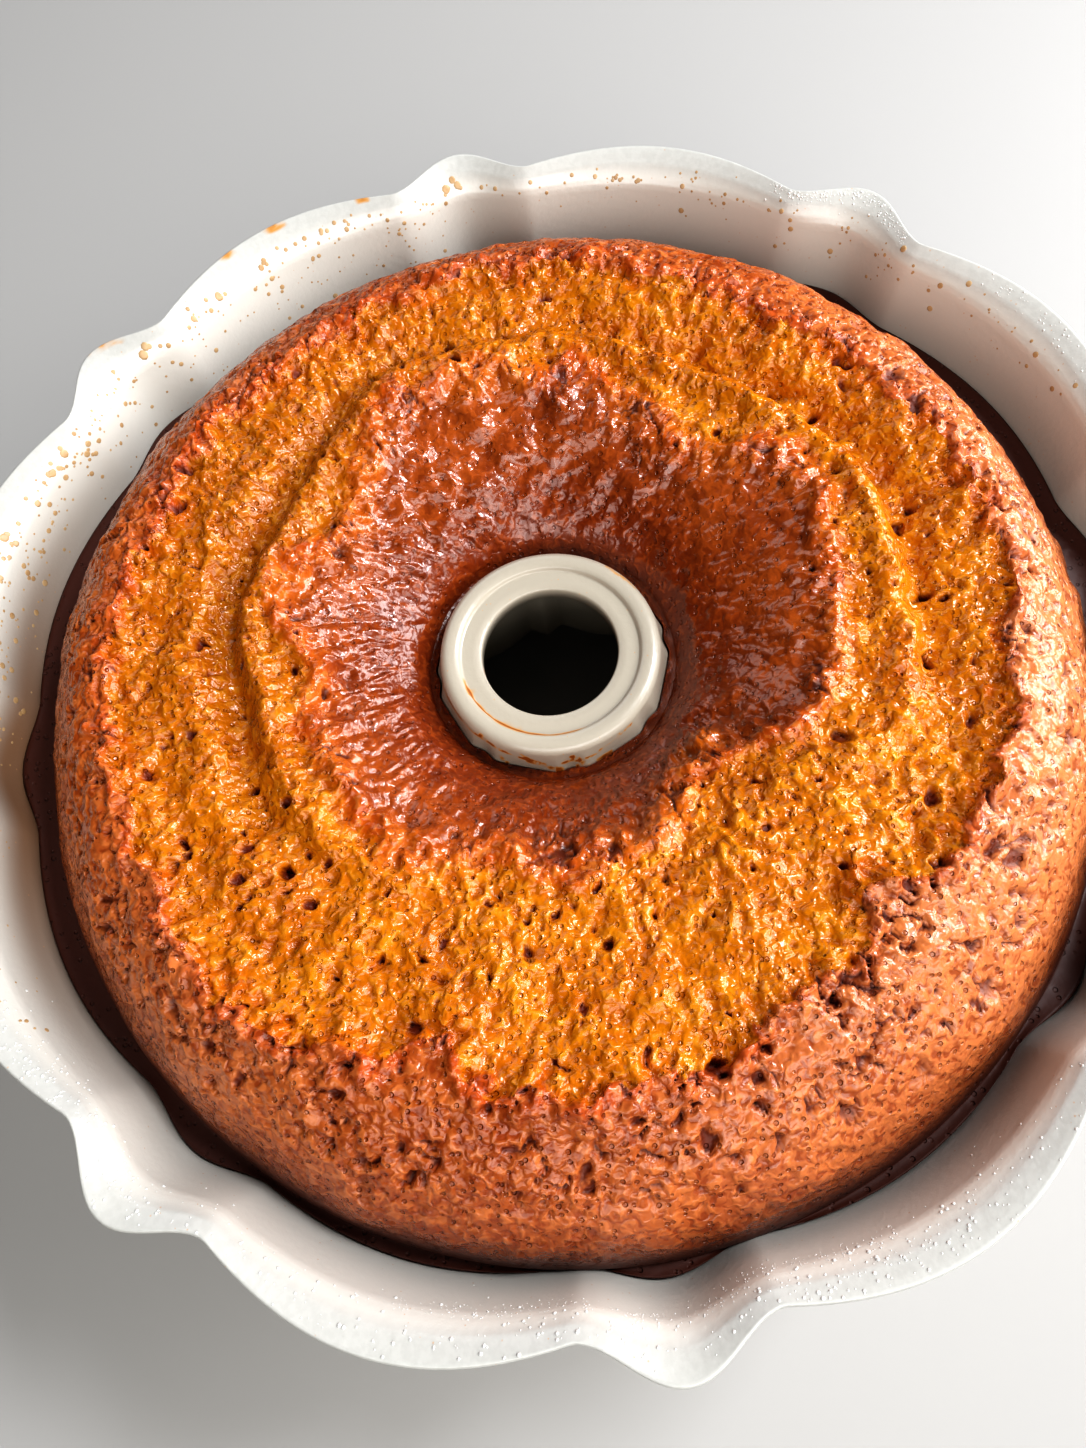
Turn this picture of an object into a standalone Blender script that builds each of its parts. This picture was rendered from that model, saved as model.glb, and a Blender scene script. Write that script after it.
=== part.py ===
"""Bundt cake in its own fluted tin: a cracked, domed ring cake and the tin it was baked in.

The origin is at the middle of the tin's base, on the axis of its tube, with +Z up. The narrow
pointed flutes stand at multiples of 45 degrees from +X, and a wide rounded flute lies between
each pair. Driving dimensions are in millimetres and degrees; the meshes are made in metres.
Each solid is a loft: rings of points follow its section all the way round and close on themselves.
"""
import math

import bmesh
import bpy

MM = 0.001

# Tin: heights above the surface it stands on
TUBE_TOP_Z = 84.0
RIM_Z = 95.8
BEND_Z = 91.4
LEDGE_Z = 75.9
WALL_FOOT_Z = 46.0
TUBE_FOOT_Z = 34.0
FLOOR_Z = 6.5

# Tin: radii of the inside, measured on the ridges between the flutes
HOLE_R = 14.8
TUBE_R = 25.5
TUBE_FOOT_R = 36.0
FLOOR_R = 74.0
BEND_R = 123.5
RIM_R = 128.0
WALL_LEAN = math.radians(12.5)

# Tin: metal, foot ring and the top of the tube
WALL = 2.8
RIM_THICKNESS = 2.2
TUBE_TOP_THICKNESS = 3.6
FOOT_INNER_R = 66.0
FOOT_OUTER_R = 84.0
HOLE_EDGE = 0.6
TUBE_RING_R = 19.2
TUBE_LIP = ((20.0, 0.9), (22.2, 1.3), (24.0, -0.6))

# Flutes: eight narrow and eight wide ones, with their depths down the inside of the tin
FLUTES = 8
PERIOD = math.radians(360.0 / FLUTES)
NARROW_HALF = math.radians(7.75)
NARROW_STEPS = 3
WIDE_STEPS = 4
RIM_DEPTHS = (7.6, 5.9)
FLANGE_DEPTHS = (5.9, 4.6)
WALL_DEPTHS = ((BEND_Z, 3.8, 2.9), (LEDGE_Z, 3.35, 2.4), (WALL_FOOT_Z, 5.6, 4.6))
BOWL_DEPTHS = ((20.0, 6.0, 5.0), (41.0, 6.0, 5.0), (62.0, 5.0, 4.4), (81.0, 3.7, 3.2))
INNER_BOWL_DEPTHS = ((77.0, 3.4, 3.0), (52.0, 2.8, 2.8), (26.0, 2.2, 2.2))

# Cake: the dome, with its shoulder outside the crest and its inner slope down to the tube
GAP = 0.45
CREST_R = 89.6
CREST_Z = 102.0
SHOULDER_DEPTH = 91.9
SHOULDER_REACH = 37.4
SHOULDER_HEIGHTS = (79.5, 86.0, 92.5, 97.5)
INNER_CREST_R = 78.0
INNER_REACH = 53.0
INNER_DEPTH = 30.0
INNER_FULLNESS = 0.55
INNER_SLOPE_R = 33.5
TUBE_SIDE_R = 27.8
TUBE_SIDE_Z = 78.4

# Cake: the ledge at the wall, as its drop below the wall line and its place from dome to wall
LEDGE_DIP = ((0.4, 0.5), (0.9, 0.06))

# Cake: swell of the shoulder, which leans nearest to the wall at the front
SHOULDER_SWELL = 0.7
SHOULDER_FRONT = 2.2
SHOULDER_OVAL = 1.8
SWELL_START_R = 90.0
SWELL_FULL_R = 112.0

# Cake: radii, every 15 degrees from +X, of the crust's torn edge, of the ridge of crumb inside
# the crack and of the browned island's edge
CRUST_EDGE = (92, 91, 89, 86, 88, 89.5, 91, 89, 86.5, 88, 87.5, 90,
              89.5, 89, 91.5, 94, 90.5, 89, 90.5, 88.5, 86.5, 88, 90.5, 89.5)
RIDGE = (69.5, 72, 69.5, 67.5, 67.5, 70.5, 70, 71, 67, 62, 61.5, 62,
         60.5, 60, 61, 61, 59, 58, 58, 57, 57, 62, 70, 71)
ISLAND_EDGE = (63, 66.5, 60, 55.5, 59, 63, 66, 68, 63, 53, 57, 57.5,
               49.5, 54.5, 56, 57, 53, 52, 51.5, 50.5, 45, 49, 59, 60)

# Cake: tongues of crust that reach in over the crack, as angle, reach and half width
TONGUES = ((247.0, 6.0, 7.0), (306.0, 6.5, 8.0))

# Cake: cliffs in the crack, as middle angle, half width, rise of ridge, depth of trough outside it
CLIFFS = ((30.0, 95.0, 2.6, 4.6),
          (165.0, 62.0, 1.2, 3.2))
TROUGH_REACH = 6.0
RIDGE_WIDTH = 3.8
TROUGH_WIDTH = 4.4

# Cake: depth of the crack, the crust's step at its torn edge and the island's raised border
CRACK_DROP = 2.6
CRACK_OUTER_SLOPE = 9.0
CRACK_INNER_SLOPE = 6.0
CRUST_STEP = 1.5
CRUST_STEP_REACH = 2.0
ISLAND_STEP = 1.2
ISLAND_STEP_WIDTH = 4.0


def smooth_step(low, high, value):
    t = min(max((value - low) / (high - low), 0.0), 1.0)
    return t * t * (3.0 - 2.0 * t)


def mix(a, b, t):
    return a + (b - a) * t


def bump(value, middle, width):
    return math.exp(-((value - middle) / width) ** 2)


def polar_point(radius, angle, height):
    return (radius * math.cos(angle) * MM, radius * math.sin(angle) * MM, height * MM)


def even_angles():
    """Angles round the part: fine steps over each narrow flute, wider ones over each wide flute."""
    wide_half = 0.5 * PERIOD - NARROW_HALF
    half = [NARROW_HALF * i / NARROW_STEPS for i in range(NARROW_STEPS)]
    half += [NARROW_HALF + wide_half * i / WIDE_STEPS for i in range(WIDE_STEPS + 1)]
    period = half + [PERIOD - angle for angle in half[-2:0:-1]]
    return [k * PERIOD + angle for k in range(FLUTES) for angle in period]


ANGLES = even_angles()
TUBE_ANGLES = ANGLES[::2]


def flutes(angle, narrow_depth, wide_depth):
    """Depth of the fluting at an angle: zero on the ridges, full in the middle of each flute."""
    offset = abs((angle + 0.5 * PERIOD) % PERIOD - 0.5 * PERIOD)
    if offset < NARROW_HALF:
        return narrow_depth * math.cos(0.5 * math.pi * offset / NARROW_HALF) ** 2
    wide_half = 0.5 * PERIOD - NARROW_HALF
    return wide_depth * math.sin(0.5 * math.pi * (offset - NARROW_HALF) / wide_half)


def round_curve(values, angle):
    """A smooth closed curve through values spaced evenly round the circle."""
    place = (math.degrees(angle) % 360.0) * len(values) / 360.0
    start = int(place)
    t = place - start
    a, b, c, d = [values[(start + k) % len(values)] for k in (-1, 0, 1, 2)]
    bend = 2.0 * a - 5.0 * b + 4.0 * c - d + t * (3.0 * (b - c) + d - a)
    return b + 0.5 * t * (c - a + t * bend)


def arc_window(angle, middle, half_width):
    """One at the middle angle, falling smoothly to zero at half_width degrees on each side."""
    offset = abs((math.degrees(angle) - middle + 180.0) % 360.0 - 180.0)
    return 0.5 + 0.5 * math.cos(math.pi * min(offset / half_width, 1.0))


class Row:
    """One ring of the tin's cavity: radius, height, direction out of the cake and flute depths."""

    def __init__(self, radius, height, out, narrow, wide):
        self.radius = radius
        self.height = height
        self.out = out
        self.narrow = narrow
        self.wide = wide

    def point(self, angle, offset):
        """The ring's point at an angle, moved offset millimetres out of the cake."""
        depth = flutes(angle, self.narrow, self.wide) + offset
        radius = self.radius + self.out[0] * depth
        return polar_point(radius, angle, self.height + self.out[1] * depth)

    def ring(self, offset=0.0, angles=ANGLES):
        return [self.point(angle, offset) for angle in angles]


def wall_radius(z):
    return BEND_R - (BEND_Z - z) * math.tan(WALL_LEAN)


def wall_rows():
    """The straight wall, from the bend under the rim down to its foot."""
    out = (math.cos(WALL_LEAN), -math.sin(WALL_LEAN))
    return [Row(wall_radius(z), z, out, narrow, wide) for z, narrow, wide in WALL_DEPTHS]


def bowl_row(reach, top_z, degrees, narrow, wide):
    """A ring on the quarter ellipse that hangs from top_z; reach is negative on the tube's side."""
    c = math.cos(math.radians(degrees))
    s = math.sin(math.radians(degrees))
    drop = top_z - FLOOR_Z
    out = (c / reach, -s / drop)
    length = math.hypot(*out)
    direction = (out[0] / length, out[1] / length)
    return Row(FLOOR_R + reach * c, top_z - drop * s, direction, narrow, wide)


def bowl_rows():
    """The rounded bottom, from the wall's foot over the lowest ring up to the foot of the tube."""
    wall_reach = wall_radius(WALL_FOOT_Z) - FLOOR_R
    tube_reach = TUBE_FOOT_R - FLOOR_R
    rows = [bowl_row(wall_reach, WALL_FOOT_Z, *depths) for depths in BOWL_DEPTHS]
    return rows + [bowl_row(tube_reach, TUBE_FOOT_Z, *depths) for depths in INNER_BOWL_DEPTHS]


def tube_rows():
    """The tube's outside, from its foot up to just under its lip, with shallow scallops."""
    lean = math.atan2(TUBE_FOOT_R - TUBE_R, TUBE_SIDE_Z - TUBE_FOOT_Z)
    out = (-math.cos(lean), -math.sin(lean))
    rows = []
    for t, depth in ((0.0, 1.8), (0.5, 1.2), (1.0, 0.7)):
        z = mix(TUBE_FOOT_Z, TUBE_SIDE_Z, t)
        rows.append(Row(mix(TUBE_FOOT_R, TUBE_R, t), z, out, depth, depth))
    return rows


WALL_ROWS = wall_rows()
BOWL_ROWS = bowl_rows()
TUBE_ROWS = tube_rows()
CAVITY = WALL_ROWS + BOWL_ROWS + TUBE_ROWS
LEDGE = WALL_ROWS[1]


def ring(radius, height, angles=ANGLES, depths=(0.0, 0.0)):
    return [polar_point(radius + flutes(angle, *depths), angle, height) for angle in angles]


def tin_rings():
    """The tin's section: tube top, cavity from tube to bend, rim, underside and the tube's bore."""
    rings = [ring(HOLE_R, TUBE_TOP_Z - HOLE_EDGE, TUBE_ANGLES),
             ring(HOLE_R + HOLE_EDGE, TUBE_TOP_Z, TUBE_ANGLES),
             ring(TUBE_RING_R, TUBE_TOP_Z, TUBE_ANGLES)]
    rings += [ring(radius, TUBE_TOP_Z + rise, TUBE_ANGLES) for radius, rise in TUBE_LIP]
    rings += [row.ring(angles=TUBE_ANGLES) for row in reversed(TUBE_ROWS)]
    rings += [row.ring() for row in reversed(WALL_ROWS + BOWL_ROWS)]
    rings.append(ring(RIM_R - 1.9, RIM_Z - 1.1, depths=FLANGE_DEPTHS))
    rings.append(ring(RIM_R, RIM_Z, depths=RIM_DEPTHS))
    rings.append(ring(RIM_R + 0.3, RIM_Z - RIM_THICKNESS, depths=RIM_DEPTHS))
    rings += [row.ring(WALL) for row in WALL_ROWS + BOWL_ROWS[:3]]
    rings += [ring(FOOT_OUTER_R, 0.0), ring(FOOT_INNER_R, 0.0)]
    rings += [row.ring(WALL) for row in BOWL_ROWS[5:]]
    rings += [row.ring(WALL, TUBE_ANGLES) for row in TUBE_ROWS]
    rings.append(ring(HOLE_R, TUBE_TOP_Z - TUBE_TOP_THICKNESS, TUBE_ANGLES))
    return rings


def shoulder_radius(z, angle):
    """The dome's outside at a height, an ellipse that swells out towards the front, at -Y."""
    sine = (z - CREST_Z + SHOULDER_DEPTH) / SHOULDER_DEPTH
    radius = CREST_R + SHOULDER_REACH * math.sqrt(1.0 - sine * sine)
    swell = SHOULDER_SWELL - SHOULDER_FRONT * math.sin(angle) - SHOULDER_OVAL * math.cos(2.0 * angle)
    return radius + swell * smooth_step(SWELL_START_R, SWELL_FULL_R, radius)


def dome_height(radius):
    """The uncracked dome from above: the shoulder, a broad crest and the slope to the tube."""
    if radius > CREST_R:
        cosine = (radius - CREST_R) / SHOULDER_REACH
        return CREST_Z - SHOULDER_DEPTH * (1.0 - math.sqrt(1.0 - cosine * cosine))
    t = max((INNER_CREST_R - radius) / INNER_REACH, 0.0)
    return CREST_Z - INNER_DEPTH * (1.0 - (1.0 - t * t) ** INNER_FULLNESS)


def crust_edge(angle):
    reach = sum(size * arc_window(angle, middle, half) for middle, size, half in TONGUES)
    return round_curve(CRUST_EDGE, angle) - reach


def crust_lip(angle):
    return crust_edge(angle) - CRUST_STEP_REACH


def ridge(angle):
    return round_curve(RIDGE, angle)


def trough(angle):
    return ridge(angle) + TROUGH_REACH


def island_edge(angle):
    return round_curve(ISLAND_EDGE, angle)


def crack_relief(radius, angle):
    """Rise or fall of the cracked top against the smooth dome."""
    torn = crust_edge(angle)
    island = island_edge(angle)
    inside = smooth_step(island - 0.5 * CRACK_INNER_SLOPE, island + CRACK_INNER_SLOPE, radius)
    inside *= smooth_step(torn, torn - CRACK_OUTER_SLOPE, radius)
    step = smooth_step(torn, crust_lip(angle), radius) * (1.0 - inside)
    border = bump(radius, island - 0.5 * CRACK_INNER_SLOPE, ISLAND_STEP_WIDTH)
    relief = ISLAND_STEP * border - CRACK_DROP * inside - CRUST_STEP * step
    for middle, half, rise, depth in CLIFFS:
        here = arc_window(angle, middle, half)
        relief += here * rise * bump(radius, ridge(angle), RIDGE_WIDTH)
        relief -= here * depth * bump(radius, trough(angle), TROUGH_WIDTH)
    return relief


def top_place(outer, inner, t):
    """A ring of the top that runs between two lines round the cake, as a radius for each angle."""
    return lambda angle: mix(outer(angle), inner(angle), t)


def top_places():
    """The lines round the top that its rings follow, from just outside the crack to the tube."""
    def slope(angle):
        return INNER_SLOPE_R

    def tube_side(angle):
        return TUBE_SIDE_R

    def crest(angle):
        return 0.5 * (CREST_R + shoulder_radius(SHOULDER_HEIGHTS[-1], angle))

    places = [crest, crust_edge, crust_lip, top_place(crust_lip, trough, 0.5), trough]
    places += [top_place(trough, ridge, 0.5), ridge, top_place(ridge, island_edge, 0.5)]
    places += [top_place(island_edge, slope, t) for t in (0.0, 0.2, 0.45, 0.75, 1.0)]
    return places + [tube_side]


def ledge_ring(drop, t):
    """A ring of the ledge, at a share t of the way from the dome's foot to the tin's wall."""
    points = []
    for angle in ANGLES:
        wall = LEDGE.radius + flutes(angle, LEDGE.narrow, LEDGE.wide)
        radius = mix(shoulder_radius(LEDGE_Z, angle), wall, t)
        points.append(polar_point(radius, angle, LEDGE_Z - drop))
    return points


def cake_rings():
    """The cake's section: ledge, shoulder, cracked top, then down the tube and round the cavity."""
    rings = [LEDGE.ring(-GAP)]
    rings += [ledge_ring(drop, t) for drop, t in LEDGE_DIP]
    for z in SHOULDER_HEIGHTS:
        rings.append([polar_point(shoulder_radius(z, angle), angle, z) for angle in ANGLES])
    for place in top_places():
        points = []
        for angle in ANGLES:
            radius = place(angle)
            height = dome_height(radius) + crack_relief(radius, angle)
            points.append(polar_point(radius, angle, height))
        rings.append(points)
    rings += [row.ring(-GAP) for row in reversed(CAVITY[2:])]
    return rings


def material(name, colour, roughness):
    made = bpy.data.materials.new(name)
    made.use_nodes = True
    shader = made.node_tree.nodes["Principled BSDF"]
    shader.inputs["Base Color"].default_value = (*colour, 1.0)
    shader.inputs["Roughness"].default_value = roughness
    shader.inputs["Metallic"].default_value = 0.0
    return made


def join_rings(bm, first, second):
    """A band of triangles between two rings, one of which may have half as many points."""
    count = max(len(first), len(second))
    for i in range(count):
        a = first[i * len(first) // count]
        b = first[(i + 1) * len(first) // count % len(first)]
        c = second[(i + 1) * len(second) // count % len(second)]
        d = second[i * len(second) // count]
        for corners in ((a, b, c), (a, c, d)):
            if len(set(corners)) == 3:
                bm.faces.new(corners)


def loft(name, rings, finish):
    """A closed body of triangles over rings that follow each other round the section."""
    bm = bmesh.new()
    loops = [[bm.verts.new(point) for point in points] for points in rings]
    for first, second in zip(loops, loops[1:] + loops[:1]):
        join_rings(bm, first, second)
    bmesh.ops.recalc_face_normals(bm, faces=bm.faces)
    mesh = bpy.data.meshes.new(name)
    bm.to_mesh(mesh)
    bm.free()
    mesh.shade_smooth()
    mesh.set_sharp_from_angle(angle=math.radians(40.0))
    mesh.materials.append(finish)
    bpy.context.scene.collection.objects.link(bpy.data.objects.new(name, mesh))


def build():
    for old in list(bpy.data.objects):
        bpy.data.objects.remove(old, do_unlink=True)
    loft("tin", tin_rings(), material("tin_coating", (0.78, 0.73, 0.64), 0.38))
    loft("cake", cake_rings(), material("cake_crust", (0.42, 0.15, 0.045), 0.6))


build()
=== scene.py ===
"""Looks of a bundt cake in its own fluted tin: the cracked, browned cake and the cream tin.

Lengths are in millimetres until the meshes are made, angles in degrees unless they say radians.
Points round the cake are given as an angle from +X and a radius from the tube's axis.
"""
import math

import bpy
import numpy as np
from mathutils import Matrix, Vector


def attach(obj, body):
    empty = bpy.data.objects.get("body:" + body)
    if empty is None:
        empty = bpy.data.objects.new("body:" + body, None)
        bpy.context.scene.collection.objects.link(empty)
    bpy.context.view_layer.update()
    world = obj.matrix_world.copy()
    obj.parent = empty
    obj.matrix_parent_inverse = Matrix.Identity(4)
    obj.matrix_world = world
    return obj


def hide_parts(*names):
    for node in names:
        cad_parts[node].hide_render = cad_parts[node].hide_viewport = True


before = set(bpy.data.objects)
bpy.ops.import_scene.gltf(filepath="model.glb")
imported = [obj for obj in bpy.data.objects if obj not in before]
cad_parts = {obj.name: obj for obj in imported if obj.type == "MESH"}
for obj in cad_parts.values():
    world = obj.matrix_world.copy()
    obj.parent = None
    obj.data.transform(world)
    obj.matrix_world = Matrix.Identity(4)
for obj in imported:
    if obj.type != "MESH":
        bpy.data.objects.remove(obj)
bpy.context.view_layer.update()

MM = 0.001

# The tin's section, as in the solid
TUBE_TOP_Z = 84.0
RIM_Z = 95.8
BEND_Z = 91.4
LEDGE_Z = 75.9
WALL_FOOT_Z = 46.0
TUBE_FOOT_Z = 34.0
FLOOR_Z = 6.5
HOLE_R = 14.8
TUBE_R = 25.5
TUBE_FOOT_R = 36.0
FLOOR_R = 74.0
BEND_R = 123.5
RIM_R = 128.0
WALL_LEAN = math.radians(12.5)
WALL = 2.8
RIM_THICKNESS = 2.2
TUBE_TOP_THICKNESS = 3.6
FOOT_INNER_R = 66.0
FOOT_OUTER_R = 84.0
PERIOD = math.radians(45.0)
NARROW_HALF = math.radians(7.75)
TUBE_SIDE_Z = 78.4

# Depths of the narrow and the wide flutes: up the wall, round the bowl on its outer and its inner
# side by degrees from the level, and up the tube
WALL_FLUTE_Z = (WALL_FOOT_Z, LEDGE_Z, BEND_Z)
WALL_NARROW = (5.6, 3.35, 3.8)
WALL_WIDE = (4.6, 2.4, 2.9)
OUTER_DEGREES = (0, 20, 41, 62, 81, 90)
OUTER_NARROW = (5.6, 6.0, 6.0, 5.0, 3.7, 3.5)
OUTER_WIDE = (4.6, 5.0, 5.0, 4.4, 3.2, 3.1)
INNER_DEGREES = (0, 26, 52, 77, 90)
INNER_NARROW = (1.8, 2.2, 2.8, 3.4, 3.5)
INNER_WIDE = (1.8, 2.2, 2.8, 3.0, 3.1)
TUBE_FLUTES = (1.8, 1.2, 0.7)

# The cake's dome and crack, as in the solid
GAP = 0.45
CREST_R = 89.6
CREST_Z = 102.0
SHOULDER_DEPTH = 91.9
SHOULDER_REACH = 37.4
INNER_CREST_R = 78.0
INNER_REACH = 53.0
INNER_DEPTH = 30.0
INNER_FULLNESS = 0.55
SHOULDER_SWELL = 0.7
SHOULDER_FRONT = 2.2
SHOULDER_OVAL = 1.8
SWELL_START_R = 90.0
SWELL_FULL_R = 112.0
CRUST_EDGE = (92, 91, 89, 86, 88, 89.5, 91, 89, 86.5, 88, 87.5, 90,
              89.5, 89, 91.5, 94, 90.5, 89, 90.5, 88.5, 86.5, 88, 90.5, 89.5)
RIDGE = (69.5, 72, 69.5, 67.5, 67.5, 70.5, 70, 71, 67, 62, 61.5, 62,
         60.5, 60, 61, 61, 59, 58, 58, 57, 57, 62, 70, 71)
ISLAND_EDGE = (63, 66.5, 60, 55.5, 59, 63, 66, 68, 63, 53, 57, 57.5,
               49.5, 54.5, 56, 57, 53, 52, 51.5, 50.5, 45, 49, 59, 60)
TONGUES = ((247.0, 6.0, 7.0), (306.0, 6.5, 8.0))
CLIFFS = ((34.0, 95.0, 3.6, 5.6),
          (166.0, 92.0, 3.2, 5.2))
TROUGH_REACH = 5.6
RIDGE_WIDTH = 3.4
TROUGH_WIDTH = 4.4
CRACK_DROP = 2.6
CRACK_OUTER_SLOPE = 9.0
CRUST_STEP = 1.5
LIP_RISE = 1.3
ISLAND_STEP = 1.2
ISLAND_STEP_WIDTH = 4.0

# Holes in the crumb that stand out: angle, radius, width across, depth
HOLES = ((216.0, 70.5, 3.4, 3.0), (218.5, 74.0, 2.2, 2.2), (210.0, 73.5, 2.4, 1.6),
         (236.0, 73.0, 2.0, 2.2), (245.0, 67.0, 2.6, 1.4), (243.0, 71.0, 2.8, 1.4),
         (257.0, 66.5, 3.0, 1.8), (200.0, 66.5, 3.0, 1.6), (30.0, 75.5, 3.0, 2.4),
         (38.0, 74.5, 3.4, 2.0), (5.0, 75.5, 2.8, 2.0), (353.0, 75.5, 3.2, 2.6),
         (351.0, 79.5, 3.2, 2.6), (341.0, 75.0, 3.0, 2.4), (32.0, 87.0, 4.0, 2.4),
         (97.0, 74.0, 3.2, 2.2), (80.0, 82.0, 2.4, 1.4), (150.0, 85.5, 3.0, 2.2),
         (144.0, 88.5, 3.6, 2.4), (157.0, 88.5, 2.6, 2.0), (172.0, 80.0, 2.4, 1.6),
         (126.0, 69.0, 3.0, 2.0), (279.0, 91.5, 3.4, 2.6), (284.5, 90.5, 2.6, 2.2),
         (313.5, 88.5, 3.0, 2.6), (294.0, 90.0, 2.2, 1.6), (266.0, 76.5, 2.2, 1.4),
         (303.0, 76.0, 4.5, 1.4), (325.0, 62.0, 3.4, 1.6), (232.0, 92.5, 3.4, 1.6),
         (188.0, 75.0, 2.4, 1.6), (333.0, 84.0, 2.4, 1.4))
# Jagged pits that stand out in the crust, in the same way
CRUST_HOLES = ((238.7, 101.5, 2.2, 1.4), (243.8, 104.5, 2.6, 1.8), (246.1, 102.3, 2.4, 1.6),
               (247.4, 106.4, 2.4, 1.6), (257.1, 98.9, 2.6, 1.4), (263.9, 102.3, 3.0, 1.6),
               (264.3, 104.9, 3.8, 2.2), (269.8, 95.3, 3.2, 1.8), (273.4, 97.1, 2.4, 1.5),
               (299.3, 99.4, 2.0, 1.3), (298.1, 100.9, 1.9, 1.2), (301.4, 105.3, 2.2, 1.4),
               (305.1, 106.6, 2.4, 1.5), (282.1, 99.6, 2.6, 1.4), (295.3, 106.6, 2.0, 1.2),
               (276.4, 101.4, 3.2, 1.9), (277.2, 110.6, 2.2, 1.3), (228.0, 104.0, 2.2, 1.4))

# How much of each fine form is in a surface's relief, in millimetres
SPONGE_KNOBS = {"folds": 0.85, "grain": 0.2, "beads": 0.5}
SPONGE_PORES = {"small_pores": 0.9, "large_pores": 1.9, "dents": 1.2, "fine_pores": 0.5}
CRUMB_FORMS = {"waves": 0.9, "lumps": 0.6}
CRUMB_TEAR = {"beads": 0.8, "crags": 0.9}
CRUST_FORMS = {"waves": 0.5, "lumps": 0.35, "grain": 0.2, "fine_pores": -0.5}
CRUST_TEAR = {"beads": 0.6, "crags": 1.0}
CRUST_ROUGH = {"beads": 0.3, "dents": -0.4, "small_pores": -0.6, "large_pores": -1.1, "crevice": -1.6,
               "nicks": -1.3}
INNER_FORMS = {"waves": 1.2, "lumps": 0.6, "grain": 0.15, "wrinkle": 0.6, "fine_pores": -0.25}
INNER_EDGE = {"beads": 0.8, "crags": 1.0, "lumps": 1.1, "small_pores": -0.8, "large_pores": -1.4,
              "crevice": -1.0}
# How much painted shade each kind of pit gets in a surface, from 0 to 1
CRUMB_PITS = {"small_pores": 0.55, "large_pores": 0.95, "dents": 0.25, "fine_pores": 0.45}
CRUST_PITS = {"small_pores": 0.5, "large_pores": 0.5, "crevice": 1.0, "nicks": 0.8}
CRUST_FINE_PITS = 0.7
INNER_PITS = {"small_pores": 0.6, "large_pores": 1.0, "crevice": 1.0}

# The ring recessed in the tube's top, and the height above which a mark counts as on the top
TUBE_RING_R = 19.2
TUBE_MARK_Z = TUBE_TOP_Z - 0.6
# Baked-on strokes down the tube's side: from an angle and height to another, and half width
TUBE_STAINS = ((222.0, 83.4, 240.0, 82.0, 0.55), (240.0, 82.0, 254.0, 80.8, 0.6),
               (250.0, 81.0, 264.0, 78.6, 1.5), (245.0, 83.2, 249.0, 81.8, 0.5),
               (271.0, 82.4, 276.0, 79.6, 0.9), (266.0, 80.4, 285.0, 80.6, 0.8),
               (285.0, 81.2, 307.0, 83.0, 0.5), (297.0, 83.0, 296.0, 78.6, 0.5),
               (274.0, 77.9, 290.0, 77.5, 1.3), (234.0, 80.0, 238.0, 77.6, 0.9))
# Baked-on smudges along the rim: angle and half width in degrees
SMUDGES = ((133.0, 3.6), (117.0, 1.6), (111.0, 2.4), (101.0, 1.4))

# Groups of droplets on the tin: how many, middle and half width of the arc in degrees, place from
# the ledge at 0 to the rim at 1 and its spread, smallest and largest radius
TAN_DROPLETS = ((46, 130.0, 44.0, 0.6, 0.05, 0.6, 1.35), (210, 136.0, 44.0, 0.35, 0.15, 0.28, 0.85),
                (130, 160.0, 20.0, 0.36, 0.15, 0.3, 0.95), (44, 85.0, 22.0, 0.55, 0.08, 0.3, 0.7),
                (80, 45.0, 30.0, 0.46, 0.12, 0.25, 0.85), (50, 185.0, 25.0, 0.5, 0.15, 0.25, 0.6))
PALE_DROPLETS = ((420, 250.0, 48.0, 0.66, 0.16, 0.14, 0.42), (340, 268.0, 20.0, 0.42, 0.05, 0.1, 0.22),
                 (180, 305.0, 30.0, 0.68, 0.16, 0.14, 0.36), (260, 47.0, 8.0, 0.85, 0.08, 0.12, 0.32),
                 (90, 20.0, 10.0, 0.8, 0.08, 0.12, 0.28), (110, 218.0, 9.0, 0.72, 0.13, 0.14, 0.36))
TAN_HEIGHT = 0.06
PALE_HEIGHT = 0.5
DROPLET_SIDES = 8

# How fine the meshes are
CAKE_ANGLES = 1024
TIN_ANGLES = 720
ROW_STEP = 0.6
LEDGE_ROWS = 11
SHOULDER_ROWS = 66
TUBE_ROWS = 5

# The photograph's camera, in metres
CAMERA_PLACE = (0.00163, -0.09328, 0.28295)
CAMERA_RIGHT = (0.98117, -0.16864, -0.09416)
CAMERA_UP = (0.19117, 0.91749, 0.34880)
CAMERA_FORWARD = (-0.02757, 0.36024, -0.93245)
SENSOR_WIDTH = 36.0
LENS = 25.2

# Soft lamps: name, azimuth and elevation in degrees, size in metres, watts and colour
LIGHT_DISTANCE = 1.0
LAMPS = (("window", -2.0, 27.0, (0.6, 0.34), 4.9, (0.98, 0.98, 1.0)),
         ("low_window", 16.0, 12.0, (0.8, 0.2), 5.6, (0.98, 0.98, 1.0)),
         ("pane", 16.0, 52.0, (0.26, 0.2), 7.0, (0.92, 0.95, 1.0)),
         ("back", 108.0, 32.0, (0.8, 0.5), 1.8, (0.97, 0.98, 1.0)),
         ("front", 254.0, 38.0, (0.8, 0.6), 3.9, (1.0, 0.99, 0.97)),
         ("corner", 296.0, 34.0, (0.7, 0.5), 4.0, (1.0, 0.99, 0.98)))
FLOOR_SIZE = 6.0
SKY_COLOUR = (0.86, 0.93, 1.0, 1.0)
SKY_STRENGTH = 0.04


def smooth_step(low, high, value):
    t = np.clip((value - low) / (high - low), 0.0, 1.0)
    return t * t * (3.0 - 2.0 * t)


def mix(a, b, t):
    return a + (b - a) * t


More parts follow.
